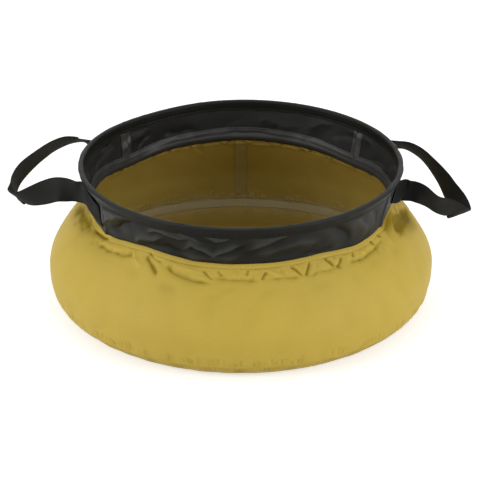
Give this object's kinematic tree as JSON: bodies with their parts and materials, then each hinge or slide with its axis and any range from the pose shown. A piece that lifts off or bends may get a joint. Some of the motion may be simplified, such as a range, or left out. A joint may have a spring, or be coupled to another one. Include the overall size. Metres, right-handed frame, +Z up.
{
  "type": "collapsible camp washbasin",
  "caption": "Collapsible fabric camp washbasin: a gathered coated-nylon bowl hung from a wire hoop in a black cloth collar, with a webbing loop handle on each side.",
  "frame": {"origin": "on the ground plane, under the middle of the bowl", "axes": "+Z up out of the mouth; -Y is the front, between the handles; +X runs to the right-hand handle"},
  "size_m": [0.4765, 0.3986, 0.1538],
  "materials": {
    "yellow_cloth": "coated nylon, satin",
    "black_cloth": "coated nylon, satin",
    "black_webbing": "woven webbing, matt",
    "seam_tape": "heat-sealed film, satin",
    "steel_wire": "drawn stainless wire"
  },
  "bodies": {
    "bowl": {"base_panel": "yellow_cloth", "base_seam_tape": "seam_tape", "skirt_panel": "yellow_cloth", "skirt_seam_tape": "seam_tape"},
    "collar": {"collar_front_panel": "black_cloth", "collar_rear_panel": "black_cloth", "collar_left_panel": "black_cloth", "collar_right_panel": "black_cloth", "collar_seam_tape_front_left": "seam_tape", "collar_seam_tape_front_right": "seam_tape", "collar_seam_tape_rear_left": "seam_tape", "collar_seam_tape_rear_right": "seam_tape", "neck_seam_tape": "seam_tape", "rim_casing": "black_cloth", "rim_hoop": "steel_wire", "hoop_ferrule": "steel_wire", "handle_end_left_front": "black_webbing", "handle_end_left_rear": "black_webbing", "handle_end_right_front": "black_webbing", "handle_end_right_rear": "black_webbing"},
    "left_handle": {"handle_left": "black_webbing"},
    "right_handle": {"handle_right": "black_webbing"}
  },
  "joints": [
    {"name": "collapse", "type": "slide", "parent": "bowl", "child": "collar", "axis": [0, 0, -1], "range_m": [0, 0.088], "deforming": ["skirt_panel", "skirt_seam_tape"]},
    {"name": "left_handle_swing", "type": "hinge", "parent": "collar", "child": "left_handle", "pos_m": [-0.16735, 0, 0.1497], "axis": [0, 1, 0], "range_deg": [0, 115]},
    {"name": "right_handle_swing", "type": "hinge", "parent": "collar", "child": "right_handle", "pos_m": [0.16735, 0, 0.1497], "axis": [0, -1, 0], "range_deg": [0, 115]}
  ]
}
